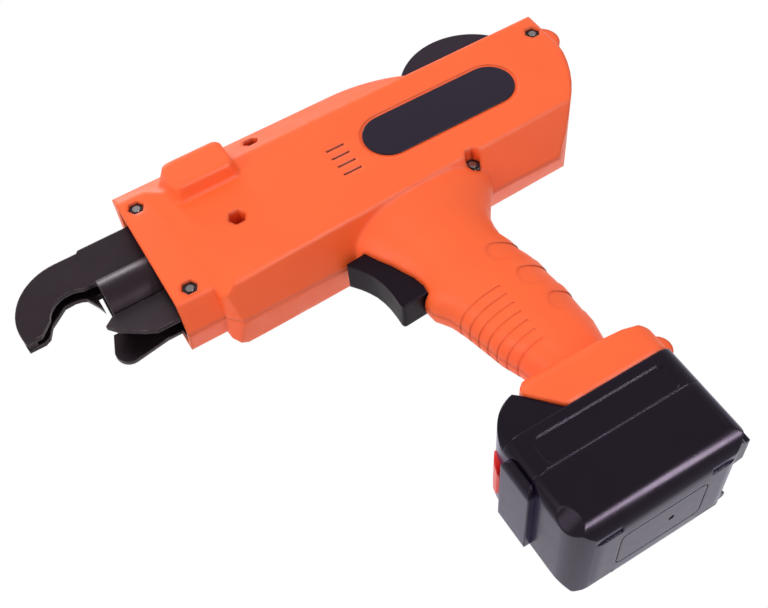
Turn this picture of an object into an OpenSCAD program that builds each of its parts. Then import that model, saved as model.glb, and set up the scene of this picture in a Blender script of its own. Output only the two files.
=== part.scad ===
// Cordless rebar tying tool: pistol-grip housing in two halves, curling jaw, wire reel
// and slide-on battery. +X points to the jaw, +Y to the tool's left, +Z up.
// The origin is the middle of the battery's base.

/* [Housing] */
// Distance from the rear wall to the front of the nose
body_length = 238; // [234:1:244]
// How far the front of the nose lies ahead of the battery's middle
nose_x = 122; // [120:1:125]
// Height of the barrel's underside above the battery's base
barrel_z = 182; // [180:1:185]
// Height of the barrel from underside to crown
barrel_height = 90; // [89:1:94]
// Width of the barrel over both casings
barrel_width = 50; // [49:0.5:54]
// Width of the nose over both casings
nose_width = 38; // [37:0.5:41]
// Thickness of the casing walls
wall = 3; // [2.6:0.1:3.3]

/* [Grip] */
// Width of the grip across the palm
grip_width = 34.5; // [33.5:0.5:37]
// Depth of the grip from front to back
grip_depth = 52; // [51:0.5:54]

/* [Jaw] */
// How far the hook reaches ahead of the nose
jaw_reach = 66.5; // [64:0.5:70]
// Diameter of the round mouth between hook and lower guides
mouth_d = 27.6; // [26:0.2:29]
// Thickness of the sheet steel cheeks
sheet = 2.5; // [2:0.1:2.8]
// Width of the wire channel between the cheeks
cheek_gap = 6; // [5:0.2:6.6]
// Outer diameter of the twisting tunnel
tunnel_d = 27; // [26:0.2:28]

/* [Reel] */
// Diameter of the reel's flanges
reel_d = 73; // [68:1:74]
// Width of the reel over its flanges
reel_width = 35; // [34:0.5:36]
// Diameter of the tying wire
wire_d = 0.8; // [0.7:0.02:0.82]
// Turns in the outer layer of wire
wire_turns = 24; // [16:1:24]

/* [Drive] */
// Diameter of the twist motor
motor_d = 36; // [32:0.5:37]
// Room between the reel and the twist motor
motor_gap = 5.5; // [4:0.5:9]
// Diameter of the twist shaft
shaft_d = 8; // [7:0.5:9]
// Diameter of the wire feed rollers
roller_d = 12; // [10.5:0.5:12.5]

/* [Trigger] */
// Width of the trigger
trigger_width = 16.5; // [15:0.5:18]
// How far the trigger is pulled
trigger_travel = 6; // [4:0.5:6.5]

/* [Battery] */
// Diameter of a battery cell
cell_d = 18.3; // [18:0.1:18.6]
// Length of a battery cell
cell_length = 65; // [63:0.5:67]
// Thickness of the battery case
battery_wall = 2.6; // [2.2:0.1:3]
// How far the release button is pressed
button_travel = 3; // [2:0.5:3.5]

/* [Hidden] */

$fn = 48;
// Cuts and fits
overrun = 2;
play = 0.35;
seat = 0.05;
running = 0.05;
arc_steps = 6;
arc_large = 12;
arc_fine_steps = 16;

// Barrel and nose
rear_x = nose_x - body_length;
crown_z = barrel_z + barrel_height;
half_w = barrel_width / 2;
nose_half = nose_width / 2;
rear_drop = 17.5;
rear_top_z = crown_z - rear_drop;
crest_back = 124;
crest_r = 45;
crest_x = nose_x - crest_back;
crest_z = crown_z - crest_r;
rear_r = 74;
rear_bend = 11;
rear_bend_z = rear_top_z - rear_bend;
rear_edge = 1;
rear_corner = 4.5;
bevel_in = 10;
bevel_down = 19;
bevel_len = sqrt(bevel_in * bevel_in + bevel_down * bevel_down);
bevel_y = bevel_down / bevel_len;
bevel_z = bevel_in / bevel_len;
bevel_d = bevel_y * half_w + bevel_z * (crown_z - bevel_down);
belly_r = 10;
// Crown of the underside: how far its edges lie above the middle line, at nose and rear
belly_front = 4;
belly_rear = 12.5;
nose_fall = 7;
belly_steps = 8;
keel = 0.4;
nose_belly_r = 9;
nose_rise = 7.3;
nose_z = barrel_z + nose_rise;
nose_length = 18.5;
nose_step = 6.5;
nose_slant = 1.2;
step_tilt = 5;
step_x = nose_x - nose_length;
twist_rise = 44;
twist_z = barrel_z + twist_rise;
nose_room = 37;
void_front = step_x - nose_step - wall - overrun;

// Feed-motor cover moulded on the left casing
cover_proud = 8.2;
cover_length = 35.5;
cover_height = 22.6;
cover_draft = 2;
cover_corner = 4;
cover_edge = 1.4;
cover_edge_steps = 4;
cover_back = 42;
cover_x = nose_x - cover_back;
cover_low = 15.7;
cover_z = twist_z + cover_low;

// Vents and name plate
vent_count = 4;
vent_length = 9.8;
vent_height = 1.2;
vent_pitch = 5.8;
vent_back = 109.8;
vent_low = 12.9;
plate_length = 85;
plate_height = 26.5;
plate_depth = 1.2;
plate_front = 77.2;
plate_x = rear_x + plate_front;
plate_low = 2;
plate_z = twist_z - plate_low;
plate_rim = 1.6;
rim_depth = 0.6;

// Fasteners of the casing
bolt_d = 4;
bolt_r = bolt_d / 2;
head_d = 7;
head_height = 3.5;
nut_af = 7;
nut_height = 3.2;
pocket_af = 7.4;
pocket_depth = 4.8;
bolt_out = 0.7;
boss_r = 5;
jaw_bolt_back = [8.5, 9.7];
jaw_bolt_rise = [31.3, -25.8];
top_bolt_back = 74;
top_bolt_low = 9;
top_bolt_in = 4;
low_bolt_front = 80.2;
low_bolt_rise = 8.2;
low_bolt_in = 6.5;
rear_bolt_front = 7.5;
rear_bolt_low = 11.5;
bolt_places = [[nose_x - jaw_bolt_back[0], twist_z + jaw_bolt_rise[0], nose_half],
               [nose_x - jaw_bolt_back[1], twist_z + jaw_bolt_rise[1], nose_half],
               [nose_x - top_bolt_back, crown_z - top_bolt_low,
                (bevel_d - bevel_z * (crown_z - top_bolt_low)) / bevel_y - top_bolt_in],
               [rear_x + low_bolt_front, barrel_z + low_bolt_rise, half_w - low_bolt_in],
               [rear_x + rear_bolt_front, rear_top_z - rear_bolt_low, half_w]];
frame_screw_back = 45.3;
frame_screw_low = 6.4;
frame_screw_x = nose_x - frame_screw_back;
frame_screw_z = twist_z - frame_screw_low;
frame_screw_seat = 11;
frame_screw_grip = 4.5;
frame_boss_r = 6.5;
hex_af = 8;

// Jaw
jaw_rise = 34.8;
jaw_z = twist_z + jaw_rise;
notch_depth = 1.4;
notch_from = 26;
hook_r = 29;
hook_x = nose_x + jaw_reach - hook_r;
hook_z = jaw_z - notch_depth - hook_r;
mouth_ahead = 0.8;
mouth_x = hook_x + mouth_ahead;
mouth_r = mouth_d / 2;
tip_low = 2.3;
tip_width = 8.5;
tip_z = twist_z - tip_low;
tang_back = 29;
tang_x = nose_x - tang_back;
tang_up = 36.3;
tang_down = 31;
tang_gap = 3.5;
tunnel_r = tunnel_d / 2;
tunnel_wall = 2;
tunnel_reach = 25;
tunnel_x = nose_x + tunnel_reach;
mouth_from = 119;
mouth_to = 18;
lip_shares = [[0.31, 1], [0.976, 0.49], [1.21, 0.095], [1.43, -0.02]];
throat_shares = [[-0.83, 0], [-0.7, 0.4], [-0.47, 0.88], [-0.3, 0.97], [-0.08, 1.02]];
channel_lift = 1.2;
core_inset = 0.8;
cheek_y = cheek_gap / 2;
cheek_out = cheek_y + sheet;
fold_low = 12.5;
fold_z = twist_z - fold_low;
flare = 8;
guide_drop = 21;
guide_tail_share = 0.85;
guide_back = 22;
guide_left_shares = [[0.383, 0], [0.463, 0.214], [0.406, 0.467], [0.265, 0.833], [0.177, 1]];
// Right guide: start of its front edge, its round lobe and its end at the nose
guide_lead = 29;
lobe_ahead = 26;
lobe_low = 10.4;
lobe_r = 6.8;
lobe_from = 12;
lobe_to = -96;
guide_end = [8, 14.6];
spacer_d = 8;

// Drive train
gearbox_d = 38;
gearbox_length = 32;
frame_length = 27;
frame_ahead = 1;
frame_front = tang_x - frame_ahead;
frame_rear = frame_front - frame_length;
gearbox_rear = frame_rear - gearbox_length;
frame_half = 8;
frame_up = 36;
frame_down = 16;
shaft_r = shaft_d / 2;
shaft_inset = 8;
shaft_length = 61;
head_r = 10;
head_length = 28;
head_back = 22;
head_x = nose_x - head_back;
claw_length = 15;
claw_half = 4;
claw_gap = 6;
claw_inset = 1;
tube_d = 4;
tube_gap = 0.5;
wire_z = twist_z + gearbox_d / 2 + tube_d / 2 + tube_gap;
wire_hole = 3;
roller_gap = 0.4;
roller_half = 2.5;
roller_x = frame_rear + frame_length / 2;
roller_shift = (roller_d + roller_gap) / 2;
axle_r = 2;
axle_in = 1;
slot_half = 3;
slot_room = 1.2;
feed_d = 12.6;
feed_length = 13;
feed_bore = 6;
tube_in = 5;
rib_width = 3;
rib_shares = [0.14, 0.8];

// Reel
reel_front = 50;
reel_x = rear_x + reel_front;
reel_low = 18;
reel_z = rear_top_z - reel_low;
reel_r = reel_d / 2;
flange = 1.6;
hub_r = 14;
reel_shaft_r = 5;
reel_boss_r = 9;
reel_end = 0.4;
core_r = 24;
wire_margin = 0.6;
wire_r = wire_d / 2;
loop_steps = 24;
tube_sides = 6;
winding_r = (core_r + wire_r + seat) / cos(180 / loop_steps);
winding_width = reel_width - 2 * flange - 2 * wire_margin - wire_d;
wire_pitch = winding_width / wire_turns;
bay_rear = 13;
bay_front = 85;
bay_half = 19.5;
bay_depth = 14;

// Twist motor and wire tube, between gearbox and reel
motor_rear = reel_x + reel_r + motor_gap;
motor_length = gearbox_rear - motor_rear;
tube_rear = motor_rear + tube_in;

// Latch
knob_r = 10;
knob_back = 12;
knob_up = 7.2;
latch_half = 6.8;
latch_arm_r = 5;
latch_arm = 3.4;
latch_slot = 23.5;

// Grip and foot
grip_base = 70;
grip_lap = 8;
grip_rise = barrel_z + grip_lap - grip_base;
ring_points = 32;
ring_power = 2.4;
// height share, front share, back share, half-width share
grip_shares = [[0, 0.044, -0.623, 0.94], [0.083, 0.063, -0.633, 0.94], [0.167, 0.111, -0.672, 0.95],
               [0.25, 0.186, -0.677, 0.968], [0.35, 0.238, -0.681, 0.986],
               [0.433, 0.282, -0.662, 0.997], [0.5, 0.332, -0.654, 0.997],
               [0.535, 0.382, -0.647, 1], [0.56, 0.422, -0.635, 1.003], [0.6, 0.432, -0.602, 1.008],
               [0.65, 0.419, -0.585, 1.014], [0.7, 0.442, -0.55, 1.025],
               [0.75, 0.493, -0.56, 1.055], [0.8, 0.539, -0.585, 1.1], [0.85, 0.606, -0.663, 1.16],
               [0.9, 0.66, -0.75, 1.235], [0.933, 0.692, -0.827, 1.295], [1, 0.712, -0.885, 1.39],
               [1.06, 0.712, -0.885, 1.43]];
// Grooves round the front of the grip
groove_count = 7;
groove_up = 20.7;
groove_z = grip_base + groove_up;
groove_pitch = 5.4;
groove_height = 1;
groove_depth = 0.4;
groove_rear = -6;
// Sunk pads for the palm: front tip of each, and their shape
palm_tips = [[-11.5, 72], [-15.8, 53.6], [-19.6, 35]];
palm_half = 20;
palm_height = 11;
palm_round = 5;
palm_tilt = 14;
palm_depth = 0.45;
foot_play = 0.3;
foot_height = 22.5;
foot_half = 30.5;
foot_round = 10;
foot_shares = [[-0.494, 0], [0.117, 0], [0.267, 0.63], [0.256, 0.78], [0.202, 0.965], [0.095, 1],
               [-0.357, 0.77], [-0.435, 0.66], [-0.48, 0.53], [-0.494, 0.4]];
lug_r = 7;
lug_half = 8;
lug_back = 4.7;
lug_up = 10.3;

// Trigger, switch and boards
trigger_half = trigger_width / 2;
trigger_low = 39;
trigger_z = barrel_z - trigger_low;
trigger_height = 36;
trigger_front = 34.8;
trigger_rear = 16;
trigger_reach = trigger_front - trigger_rear;
trigger_shares = [[0, 0.03], [0.88, 0], [0.93, 0.012], [0.957, 0.05], [0.943, 0.2], [0.948, 0.33],
                  [0.975, 0.46], [1.04, 0.6], [1.14, 0.72], [1.25, 0.82], [1.37, 0.91], [1.44, 0.96],
                  [1.42, 0.985], [0.9, 1], [0, 0.94]];
stop_width = 2;
stop_depth = 2.5;
stop_low_share = 0.4;
stop_high_share = 0.9;
switch_front = 6;
switch_length = 18;
switch_half = 9;
switch_up = 3;
switch_z = trigger_z + switch_up;
switch_height = 26;
switch_rib = 8;
spring_d = 7;
spring_wall = 1;
spring_up = 19;
spring_z = trigger_z + spring_up;
board_rear = -25;
board_length = 26;
board_up = 25;
board_z = grip_base + board_up;
board_gap = 11;
board_height = switch_z - board_gap - board_z;
board_half = 0.8;
board_rib = 3;
board_rib_shares = [0.1, 0.82];

// Battery
cell_pitch = cell_d + play;
cell_count = 3;
case_gap = 0.4;
case_end = 7.7;
battery_width = cell_count * cell_pitch + 2 * (battery_wall + case_gap);
battery_length = cell_length + 2 * (battery_wall + case_end);
half_l = battery_length / 2;
half_b = battery_width / 2;
cell_floor = 1.8;
cell_low = battery_wall + cell_floor + cell_d / 2;
lid_room = 10.5;
deck_z = cell_low + cell_pitch + cell_d / 2 + lid_room;
split_z = 33;
corner_r = 8;
end_r = 13;
base_r = 11;
cell_rib = 3;
cell_rib_x = 20;
foot_z = deck_z + foot_play;
// Hump in front of the foot: rear line as shares of half length and foot height, then its round front
hump_shares = [[0.257, -0.32], [0.257, 0], [0.562, 0.68]];
hump_r = 20;
hump_low = 2.4;
hump_from = 80;
hump_half = 29;
rail_rear = -34;
rail_length = 42;
rail_half = 19.5;
rail_neck = 16.5;
rail_low = 4;
rail_high = 8;
blade_count = 4;
blade_pitch = 6;
blade_half = 0.5;
blade_rear = -16;
blade_length = 12;
blade_depth = 5;
blade_play = 0.6;
block_rear = -20;
block_length = 26;
block_half = 14;
block_height = 8.5;
block_gap = 0.4;
panel_proud = 3.5;
panel_half = 28;
panel_round = 6;
panel_low = 29;
panel_high = 48;
panel_edge = 1.2;
button_half = 11;
button_low = 2.3;
button_height = 11.4;
button_round = 5;
// Outline of the button: share of half length, share of its height
button_shares = [[1.055, 0], [1.07, 0.12], [1.045, 0.42], [0.985, 0.76], [0.93, 1]];
button_rear = 8.6;
button_stop = 1.3;
button_stop_depth = 3;
button_stop_back = 6;
button_bay = 13;
label_length = 66;
label_height = 13;
label_round = 4;
label_depth = 0.5;
label_low = 5;
bumper_reach = 8.1;
bumper_half = 8;
bumper_z = 6;
bumper_tip = 7.3;
bumper_nose = 19.2;
bumper_top = 46;
slot_mark = [13, 4.5, 0.8];
slot_mark_x = 28.5;
slot_mark_y = 21.5;
base_line = [22, 14];
base_line_wide = 0.6;
base_line_deep = 0.4;
drain_x = -5;
drain_r = 1.5;
drain_depth = 1.2;
lens_r = 20;
lens_deep = 1.8;
lens_z = 10;
lens_length = 14;
screw_r = 1.5;
screw_head_r = 2.8;
screw_head = 2;
screw_length = 22;
screw_in = 5.6;
screw_y = 23;
screw_boss_r = 3.2;
contact_lift = 1.6;
contact_thick = 1.6;
contact_in = 2.4;

// Points of an arc about c, angles in degrees
function arc(c, r, a0, a1) = let (k = r > arc_large ? arc_fine_steps : arc_steps,
                                  n = max(2, ceil(abs(a1 - a0) / 90 * k)))
    [for (i = [0:n]) c + r * [cos(a0 + (a1 - a0) * i / n), sin(a0 + (a1 - a0) * i / n)]];

// The other half of an outline that is the same about the middle plane
function both(half) = concat(half, [for (i = [len(half) - 1:-1:0]) [-half[i][0], half[i][1]]]);

// Cross-section of barrel or nose, inset by t
function cross_half(h, z0, r, t, top) = concat(
    [[0, z0 + t]], arc([h - r, z0 + r], r - t, -90, 0),
    [[h - t, (bevel_d - t - bevel_y * (h - t)) / bevel_z],
     [(bevel_d - t - bevel_z * (top - t)) / bevel_y, top - t], [0, top - t]]);

// Side outline of the barrel, inset by t
function barrel_side(t) = concat(
    [[step_x - nose_step, barrel_z + t]],
    arc([rear_x + rear_r, rear_bend_z], rear_r - t,
        180 + asin((rear_bend_z - barrel_z - t) / (rear_r - t)), 180),
    arc([rear_x + rear_edge + t, rear_top_z - rear_edge - t], rear_edge, 180, 90),
    arc([crest_x, crest_z], crest_r - t, 180 - asin((rear_top_z - t - crest_z) / (crest_r - t)), 90),
    [[step_x + nose_step, crown_z - t], [step_x + nose_step, nose_z + t], [step_x, nose_z + t]]);

// One ring of the grip, inset by t
function ring(s, t) = let (f = s[1] * grip_depth - t, b = s[2] * grip_depth + t,
                           w = s[3] * grip_width / 2 - t, p = 2 / ring_power)
    [for (i = [0:ring_points - 1]) let (a = 360 * i / ring_points)
        [(f + b) / 2 + (f - b) / 2 * sign(cos(a)) * pow(abs(cos(a)), p),
         w * sign(sin(a)) * pow(abs(sin(a)), p), grip_base + s[0] * grip_rise]];

// Rounded oblong between its two end circles
module stadium(length, height) {
    square([length - height, height], center = true);
    for (side = [-1, 1])
        translate([side * (length - height) / 2, 0])
            circle(d = height);
}

// Rounded rectangle of straight and round pieces
module round_plan(x, y, r) {
    square([2 * x, 2 * (y - r)], center = true);
    square([2 * (x - r), 2 * y], center = true);
    for (i = [-1, 1], j = [-1, 1])
        translate([i * (x - r), j * (y - r)])
            circle(r = r);
}

// Side outline given in x and z, spread over a width about the middle plane
module side_prism(points, width) {
    rotate([90, 0, 0])
        linear_extrude(width, center = true)
            polygon(points);
}

// Side outline between two values of y
module side_slab(points, y0, y1) {
    translate([0, y1, 0])
        rotate([90, 0, 0])
            linear_extrude(y1 - y0)
                polygon(points);
}

// Cross-section given in y and z, run along x
module cross_prism(points, x0, x1) {
    translate([x0, 0, 0])
        rotate([90, 0, 90])
            linear_extrude(x1 - x0)
                polygon(points);
}

module box(a, b) {
    translate(a)
        cube(b - a);
}

// Round bar along x
module bar_x(r, x0, x1, y, z) {
    translate([x0, y, z])
        rotate([0, 90, 0])
            cylinder(r = r, h = x1 - x0);
}

// Round bar along y
module bar_y(r, y0, y1, x, z) {
    translate([x, y0, z])
        rotate([-90, 0, 0])
            cylinder(r = r, h = y1 - y0);
}

// Hexagonal bar along y
module hex_y(af, y0, y1, x, z) {
    translate([x, y0, z])
        rotate([-90, 0, 0])
            linear_extrude(y1 - y0)
                polygon([for (i = [0:5]) af / 2 / cos(30) * [cos(60 * i), sin(60 * i)]]);
}

// Skin through the rings of the grip
module grip_loft(t) {
    skin([for (s = grip_shares) each ring(s, t)], ring_points);
}

// Closed skin over rings of n points each
module skin(points, n) {
    last = len(points) / n - 1;
    polyhedron(points, concat(
        [[for (i = [0:n - 1]) i]],
        [[for (i = [n - 1:-1:0]) last * n + i]],
        [for (k = [0:last - 1], i = [0:n - 1]) [k * n + i, (k + 1) * n + i, k * n + (i + 1) % n]],
        [for (k = [0:last - 1], i = [0:n - 1])
            [k * n + (i + 1) % n, (k + 1) * n + i, (k + 1) * n + (i + 1) % n]]), convexity = 4);
}

// Room below the crowned underside whose middle line is at z0, raised by t
module belly_wedge(z0, t, front, rear) {
    w = half_w + overrun;
    reach = body_length + 2 * overrun;
    skin([for (i = [0:belly_steps])
        let (x = rear_x - overrun + reach * i / belly_steps,
             rise = (rear + (front - rear) * i / belly_steps) * w / half_w,
             z = z0 + t - keel)
        each [[x, -w, z0 - w], [x, w, z0 - w], [x, w, z + rise], [x, 0, z], [x, -w, z + rise]]], 5);
}

// Grooves and palm pads of the grip
module grip_relief() {
    difference() {
        for (i = [0:groove_count - 1])
            box([groove_rear, -grip_width, groove_z + i * groove_pitch],
                [grip_depth, grip_width, groove_z + i * groove_pitch + groove_height]);
        grip_loft(groove_depth);
    }
    difference() {
        for (p = palm_tips)
            translate([p[0], 0, grip_base + p[1]])
                rotate([90, -palm_tilt, 0])
                    linear_extrude(2 * grip_width, center = true)
                        translate([-palm_half, 0])
                            round_plan(palm_half, palm_height / 2, palm_round);
        grip_loft(palm_depth);
    }
}

// Outside of barrel and nose
module barrel_outer() {
    reach = body_length + 2 * nose_length;
    slope = (half_w - nose_half) / nose_step;
    difference() {
        intersection() {
            side_prism(barrel_side(0), barrel_width + overrun);
            cross_prism(both(cross_half(half_w, barrel_z, belly_r, 0, crown_z)), rear_x - overrun,
                        nose_x);
            translate([rear_x + body_length, 0, barrel_z - overrun])
                linear_extrude(barrel_height + 2 * overrun)
                    round_plan(body_length, half_w, rear_corner);
            translate([0, 0, twist_z])
                rotate([0, step_tilt, 0])
                    linear_extrude(2 * barrel_height, center = true)
                        polygon(both_x([[rear_x - reach, half_w + overrun],
                                        [step_x - nose_step - overrun / slope, half_w + overrun],
                                        [step_x + overrun / slope, nose_half - overrun]]));
        }
        belly_wedge(barrel_z, 0, belly_front, belly_rear);
    }
    difference() {
        intersection() {
            side_prism([[step_x - nose_length, nose_z], [nose_x, nose_z], [nose_x - nose_slant, crown_z],
                        [step_x - nose_length, crown_z]], barrel_width);
            cross_prism(both(cross_half(nose_half, nose_z, nose_belly_r, 0, crown_z)),
                        step_x - nose_length, nose_x + overrun);
        }
        belly_wedge(nose_z, 0, nose_fall, nose_fall);
    }
}

// Outline mirrored in y, given from rear to front on the left side
function both_x(half) = concat(half, [for (i = [len(half) - 1:-1:0]) [half[i][0], -half[i][1]]]);

// One outline of the feed-motor cover at a given y, inset by t
function cover_ring(y, t) =
    let (l = cover_length / 2 - t, h = cover_height / 2 - t, z = cover_z + cover_height / 2,
         r = cover_corner)
    [for (p = concat(arc([l - r, h - r], r, 0, 90), arc([r - l, h - r], r, 90, 180),
                     arc([r - l, r - h], r, 180, 270), arc([l - r, r - h], r, 270, 360)))
        [cover_x + p[0], y, z + p[1]]];

// Cover over the feed motor, drafted on all sides and rounded to its face
module cover_outer() {
    y1 = half_w + cover_proud;
    slope = cover_draft / cover_proud;
    rim = [for (i = [0:cover_edge_steps]) let (a = 90 * i / cover_edge_steps)
        cover_ring(y1 - cover_edge * (1 - cos(a)), cover_draft + cover_edge * (1 - sin(a)))];
    rings = concat(rim, [cover_ring(half_w - bevel_in, -slope * bevel_in)]);
    skin([for (c = rings) each c], len(rings[0]));
}

// Foot over the battery, with the lug behind it
module foot_outer() {
    top = foot_z + foot_height;
    intersection() {
        side_prism([for (s = foot_shares) [s[0] * battery_length, foot_z + s[1] * foot_height]],
                   battery_width);
        cross_prism(both(concat([[0, foot_z], [foot_half, foot_z]],
                                arc([foot_half - foot_round, top - foot_round], foot_round, 0, 90),
                                [[0, top]])), -battery_length, battery_length);
        translate([0, 0, foot_z - overrun])
            linear_extrude(foot_height + 2 * overrun)
                round_plan(half_l - case_gap, foot_half, corner_r);
    }
    bar_y(lug_r, -lug_half, lug_half, -half_l - lug_back + case_gap, foot_z + lug_up);
}

// Bosses, saddles and ribs that stand in the hollow of the casings
module inner_stays() {
    for (i = [0:len(bolt_places) - 1], side = [-1, 1]) {
        b = bolt_places[i];
        flared = cheek_out + sheet / cos(flare) + (fold_z - b[1] + boss_r) * tan(flare) + seat;
        inner = i == 0 ? cheek_out : i == 1 ? flared : i == 4 ? latch_half + play : 0;
        y0 = side < 0 ? -half_w : inner;
        y1 = side < 0 ? -inner : half_w;
        bar_y(boss_r, y0, y1, b[0], b[1]);
    }
    for (side = [-1, 1]) {
        bar_y(frame_boss_r, side < 0 ? -half_w : frame_half, side < 0 ? -frame_half : half_w,
              frame_screw_x, frame_screw_z);
        bar_y(reel_boss_r, side < 0 ? -half_w : reel_width / 2 + reel_end,
              side < 0 ? -reel_width / 2 - reel_end : half_w, reel_x, reel_z);
        box([switch_front - switch_length / 2 - switch_rib / 2, side < 0 ? -half_w : switch_half,
             switch_z + switch_height / 2 - switch_rib],
            [switch_front - switch_length / 2 + switch_rib / 2, side < 0 ? -switch_half : half_w,
             switch_z + switch_height / 2 + switch_rib]);
        for (s = board_rib_shares)
            box([board_rear + board_length / 2 - switch_rib, side < 0 ? -half_w : board_half,
                 board_z + s * board_height],
                [board_rear + board_length / 2 + switch_rib, side < 0 ? -board_half : half_w,
                 board_z + s * board_height + board_rib]);
    }
    for (s = rib_shares)
        difference() {
            box([motor_rear + s * motor_length, -half_w, barrel_z],
                [motor_rear + s * motor_length + rib_width, half_w, crown_z]);
            bar_x(motor_d / 2 + seat, motor_rear, gearbox_rear, 0, twist_z);
            bar_x(tube_d / 2 + seat, motor_rear, gearbox_rear, 0, wire_z);
        }
}

// Hollow of the casings
module hollow() {
    difference() {
        union() {
            difference() {
                intersection() {
                    side_prism(barrel_side(wall), barrel_width);
                    cross_prism(both(cross_half(half_w, barrel_z, belly_r, wall, crown_z)), rear_x,
                                void_front);
                    translate([rear_x + body_length, 0, barrel_z - overrun])
                        linear_extrude(barrel_height + 2 * overrun)
                            round_plan(body_length - wall, half_w - wall, rear_corner - wall);
                }
                belly_wedge(barrel_z, wall, belly_front, belly_rear);
            }
            difference() {
                cross_prism(both(concat([[0, nose_z + wall]],
                                        arc([nose_half - nose_belly_r, nose_z + nose_belly_r],
                                            nose_belly_r - wall, -90, 0),
                                        [[nose_half - wall, twist_z + nose_room],
                                         [0, twist_z + nose_room]])),
                            void_front - overrun, nose_x + overrun);
                belly_wedge(nose_z, wall, nose_fall, nose_fall);
            }
            grip_loft(wall);
        }
        inner_stays();
    }
    // Bay of the reel, open at the top
    box([rear_x + bay_rear, -bay_half, rear_top_z - bay_depth], [rear_x + bay_front, bay_half, crown_z]);
    // Slot of the latch in the rear wall
    box([rear_x - overrun, -latch_half - play, rear_top_z - latch_slot],
        [rear_x + bay_rear + overrun, latch_half + play, rear_top_z + overrun]);
    // Trigger opening and the room its stop needs
    box([trigger_rear - trigger_travel - overrun, -trigger_half - play, trigger_z - play],
        [trigger_front + trigger_reach, trigger_half + play, trigger_z + trigger_height + play]);
    box([trigger_rear - trigger_travel - overrun, -trigger_half - stop_width - play,
         trigger_z + stop_low_share * trigger_height - play],
        [trigger_rear + stop_depth + play, trigger_half + stop_width + play,
         trigger_z + stop_high_share * trigger_height + play]);
    // Way of the battery rail through the foot
    box([rail_rear - play, -rail_half - play, deck_z + rail_low - play],
        [half_l + overrun, rail_half + play, deck_z + rail_high + play]);
    box([rail_rear - play, -rail_neck - play, foot_z - overrun],
        [half_l + overrun, rail_neck + play, deck_z + rail_high]);
    // Seat of the terminal block
    box([block_rear - seat, -block_half - seat, deck_z + rail_high],
        [block_rear + block_length + seat, block_half + seat,
         deck_z + rail_high + play + block_gap + block_height]);
    // Bores
    for (b = bolt_places)
        bar_y(bolt_r + seat, -half_w, half_w, b[0], b[1]);
    bar_y(bolt_r + seat, -half_w, half_w, frame_screw_x, frame_screw_z);
    bar_y(reel_shaft_r + seat, -half_w + wall, half_w - wall, reel_x, reel_z);
    // Vents
    for (i = [0:vent_count - 1])
        box([nose_x - vent_back, -half_w - overrun, twist_z - vent_low + i * vent_pitch],
            [nose_x - vent_back + vent_length, half_w + overrun,
             twist_z - vent_low + i * vent_pitch + vent_height]);
}

// Both casings as one, before they are parted
module casing_solid() {
    difference() {
        union() {
            barrel_outer();
            grip_loft(0);
            foot_outer();
        }
        hollow();
        grip_relief();
    }
}

// Left half of the casings, before its own features
module half_shell() {
    intersection() {
        casing_solid();
        box([-body_length, 0, -overrun], [body_length, body_length, body_length + crown_z]);
    }
}

module left_casing() {
    color([1, 0.41, 0.23])
        difference() {
            union() {
                half_shell();
                difference() {
                    cover_outer();
                    intersection() {
                        cross_prism(both(cross_half(half_w, barrel_z, belly_r, wall, crown_z)),
                                    rear_x, nose_x);
                        box([rear_x, 0, 0], [void_front, half_w, crown_z]);
                    }
                }
            }
            // Pocket of the feed motor
            bar_y(feed_d / 2 + play, frame_half, half_w + cover_proud - wall, roller_x,
                  wire_z + roller_shift);
            for (b = bolt_places)
                hex_y(pocket_af, b[2] - pocket_depth, half_w + overrun, b[0], b[1]);
            hex_y(hex_af, frame_screw_seat, half_w + overrun, frame_screw_x, frame_screw_z);
            translate([plate_x, half_w + overrun, plate_z])
                rotate([90, 0, 0])
                    linear_extrude(overrun + plate_depth)
                        stadium(plate_length + 2 * seat, plate_height + 2 * seat);
            translate([plate_x, half_w + overrun, plate_z])
                rotate([90, 0, 0])
                    linear_extrude(overrun + rim_depth)
                        stadium(plate_length + 2 * plate_rim, plate_height + 2 * plate_rim);
        }
}

module right_casing() {
    color([0.98, 0.39, 0.21])
        difference() {
            mirror([0, 1, 0])
                half_shell();
            for (b = bolt_places)
                bar_y(head_d / 2 + play, -half_w - overrun, -b[2] + pocket_depth, b[0], b[1]);
            hex_y(hex_af, -half_w - overrun, -frame_screw_seat, frame_screw_x, frame_screw_z);
        }
}

// Bolts from the right, heads sunk in their counterbores
module casing_bolts() {
    color([0.2, 0.2, 0.22])
        for (b = bolt_places)
            difference() {
                union() {
                    bar_y(bolt_r, -b[2] + pocket_depth, b[2] - pocket_depth + nut_height + bolt_out,
                          b[0], b[1]);
                    bar_y(head_d / 2, -b[2] + pocket_depth - head_height, -b[2] + pocket_depth, b[0],
                          b[1]);
                }
                hex_y(bolt_d * 3 / 4, -b[2], -b[2] + pocket_depth - head_height / 2, b[0], b[1]);
            }
}

module casing_nuts() {
    color([0.25, 0.25, 0.27])
        for (b = bolt_places)
            difference() {
                hex_y(nut_af, b[2] - pocket_depth, b[2] - pocket_depth + nut_height, b[0], b[1]);
                bar_y(bolt_r + seat, b[2] - pocket_depth - overrun, b[2], b[0], b[1]);
            }
}

module frame_screws() {
    color([0.25, 0.25, 0.27])
        for (side = [0, 1])
            mirror([0, side, 0]) {
                bar_y(bolt_r, frame_half - frame_screw_grip, frame_screw_seat, frame_screw_x,
                      frame_screw_z);
                hex_y(nut_af, frame_screw_seat, frame_screw_seat + nut_height, frame_screw_x,
                      frame_screw_z);
            }
}

module name_plate() {
    color([0.22, 0.18, 0.23])
        translate([plate_x, half_w - seat, plate_z])
            rotate([90, 0, 0])
                linear_extrude(plate_depth - seat)
                    stadium(plate_length, plate_height);
}

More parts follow.
